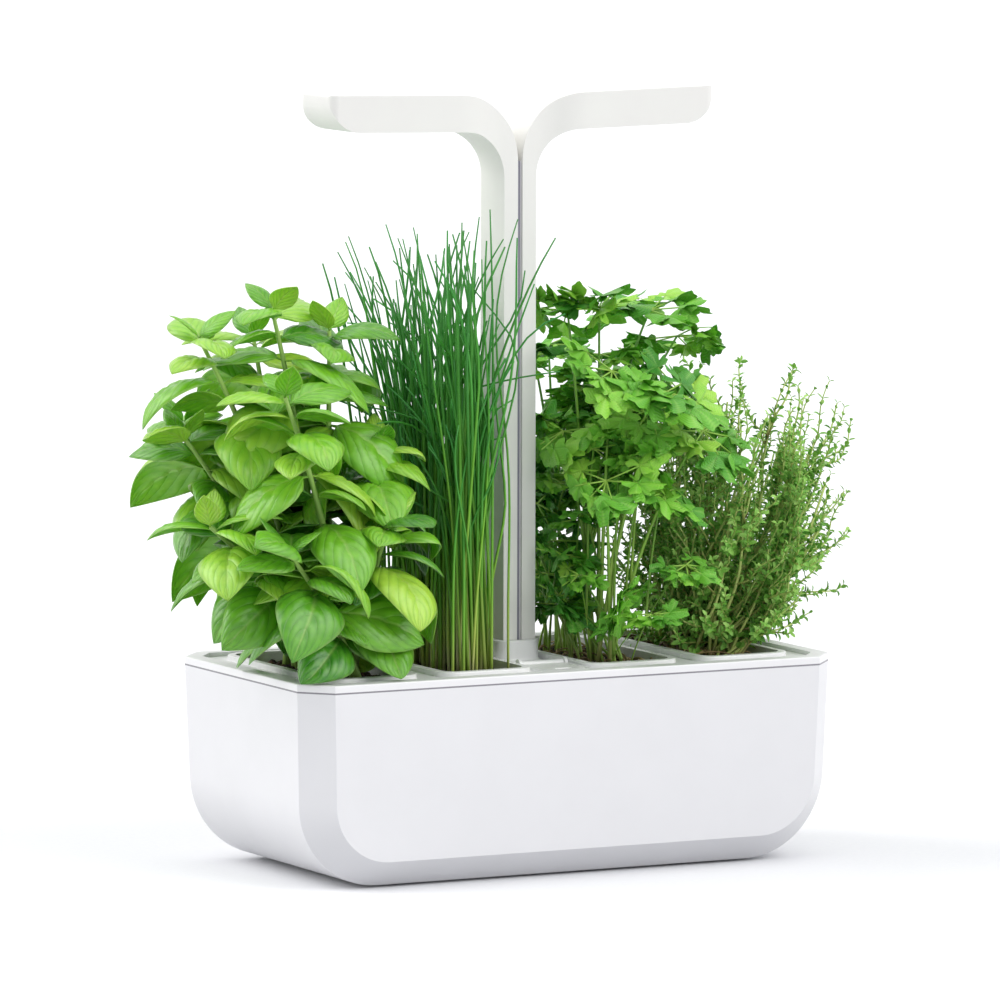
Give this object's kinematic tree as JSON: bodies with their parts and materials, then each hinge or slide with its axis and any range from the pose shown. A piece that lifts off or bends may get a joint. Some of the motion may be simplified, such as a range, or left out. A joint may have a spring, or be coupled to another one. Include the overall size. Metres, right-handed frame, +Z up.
{
  "type": "indoor herb planter",
  "caption": "White countertop planter with a water tank, lift-out herb pots in a removable deck, and a grow lamp with a telescopic mast that splits into a pair of arms.",
  "frame": {"origin": "centre of the footprint, on the table", "axes": "+X along the planter's length to the right seen from the front, -Y towards the front, +Z up"},
  "size_m": [0.4445, 0.198, 0.4296],
  "materials": {
    "tub_white": "satin white moulding, fine grain",
    "deck_white": "satin white moulding, fine grain",
    "pot_white": "satin white moulding, thin wall",
    "lamp_white": "matt warm white moulding",
    "spine_grey": "matt mid grey",
    "inner_plastic": "plain pale grey, unpolished",
    "foot_rubber": "matt dark grey",
    "screw_steel": "zinc plated",
    "lead_pvc": "flat ribbon, satin",
    "circuit_board": "solder mask green",
    "inlet_black": "moulded black",
    "led_lens": "clear dome over yellow phosphor",
    "diffuser": "frosted sheet",
    "float_green": "matt green",
    "button_grey": "matt grey",
    "potting_soil": "damp crumbly peat and fibre",
    "wick_felt": "pressed felt",
    "basil_foliage": "waxy bright green leaf",
    "chives_foliage": "smooth dark green blade, straw base",
    "parsley_foliage": "matt mid green leaf, pale stalk",
    "thyme_foliage": "grey green small leaf, pale sprig"
  },
  "bodies": {
    "base": {"reservoir_tub": "tub_white", "foot_pads": "foot_rubber"},
    "deck": {"grow_deck": "deck_white", "mast_sleeve": "inner_plastic", "sleeve_screws": "screw_steel", "lamp_lead": "lead_pvc", "supply_lead": "lead_pvc", "console_cover": "inner_plastic", "console_screws": "screw_steel", "control_board": "circuit_board", "dc_inlet": "inlet_black", "button_switch": "inlet_black", "flap_pin": "screw_steel"},
    "lamp": {"left_arm_shell": "lamp_white", "right_arm_shell": "lamp_white", "mast_spine": "spine_grey", "arm_screws": "screw_steel", "mast_foot": "inner_plastic", "friction_pads": "foot_rubber", "left_diffuser": "diffuser", "right_diffuser": "diffuser", "left_led_board": "circuit_board", "right_led_board": "circuit_board", "left_leds": "led_lens", "right_leds": "led_lens"},
    "fill_flap": {"fill_flap": "deck_white"},
    "level_float": {"level_float": "float_green"},
    "timer_button": {"timer_button": "button_grey"},
    "basil_planting": {"basil_pot": "pot_white", "basil_soil": "potting_soil", "basil_wick": "wick_felt", "basil_plant": "basil_foliage"},
    "chives_planting": {"chives_pot": "pot_white", "chives_soil": "potting_soil", "chives_wick": "wick_felt", "chives_plant": "chives_foliage"},
    "parsley_planting": {"parsley_pot": "pot_white", "parsley_soil": "potting_soil", "parsley_wick": "wick_felt", "parsley_plant": "parsley_foliage"},
    "thyme_planting": {"thyme_pot": "pot_white", "thyme_soil": "potting_soil", "thyme_wick": "wick_felt", "thyme_plant": "thyme_foliage"}
  },
  "joints": [
    {"name": "deck_lift", "type": "slide", "parent": "base", "child": "deck", "axis": [0, 0, 1], "range_m": [0, 0.12]},
    {"name": "lamp_height", "type": "slide", "parent": "deck", "child": "lamp", "axis": [0, 0, 1], "range_m": [-0.06, 0], "deforming": ["lamp_lead", "chives_plant"]},
    {"name": "flap_hinge", "type": "hinge", "parent": "deck", "child": "fill_flap", "pos_m": [0, -0.041, 0.1144], "axis": [-1, 0, 0], "range_deg": [0, 95]},
    {"name": "float_rise", "type": "slide", "parent": "deck", "child": "level_float", "axis": [0, 0, 1], "range_m": [0, 0.03]},
    {"name": "button_press", "type": "slide", "parent": "deck", "child": "timer_button", "axis": [0, -1, 0], "range_m": [0, 0.0009], "stiffness_N_per_m": 300, "springref_m": -0.002},
    {"name": "basil_lift", "type": "slide", "parent": "deck", "child": "basil_planting", "axis": [0, 0, 1], "range_m": [0, 0.07], "deforming": ["basil_plant"]},
    {"name": "chives_lift", "type": "slide", "parent": "deck", "child": "chives_planting", "axis": [0, 0, 1], "range_m": [0, 0.036]},
    {"name": "parsley_lift", "type": "slide", "parent": "deck", "child": "parsley_planting", "axis": [0, 0, 1], "range_m": [0, 0.07], "deforming": ["parsley_plant"]},
    {"name": "thyme_lift", "type": "slide", "parent": "deck", "child": "thyme_planting", "axis": [0, 0, 1], "range_m": [0, 0.07], "deforming": ["thyme_plant"]}
  ]
}
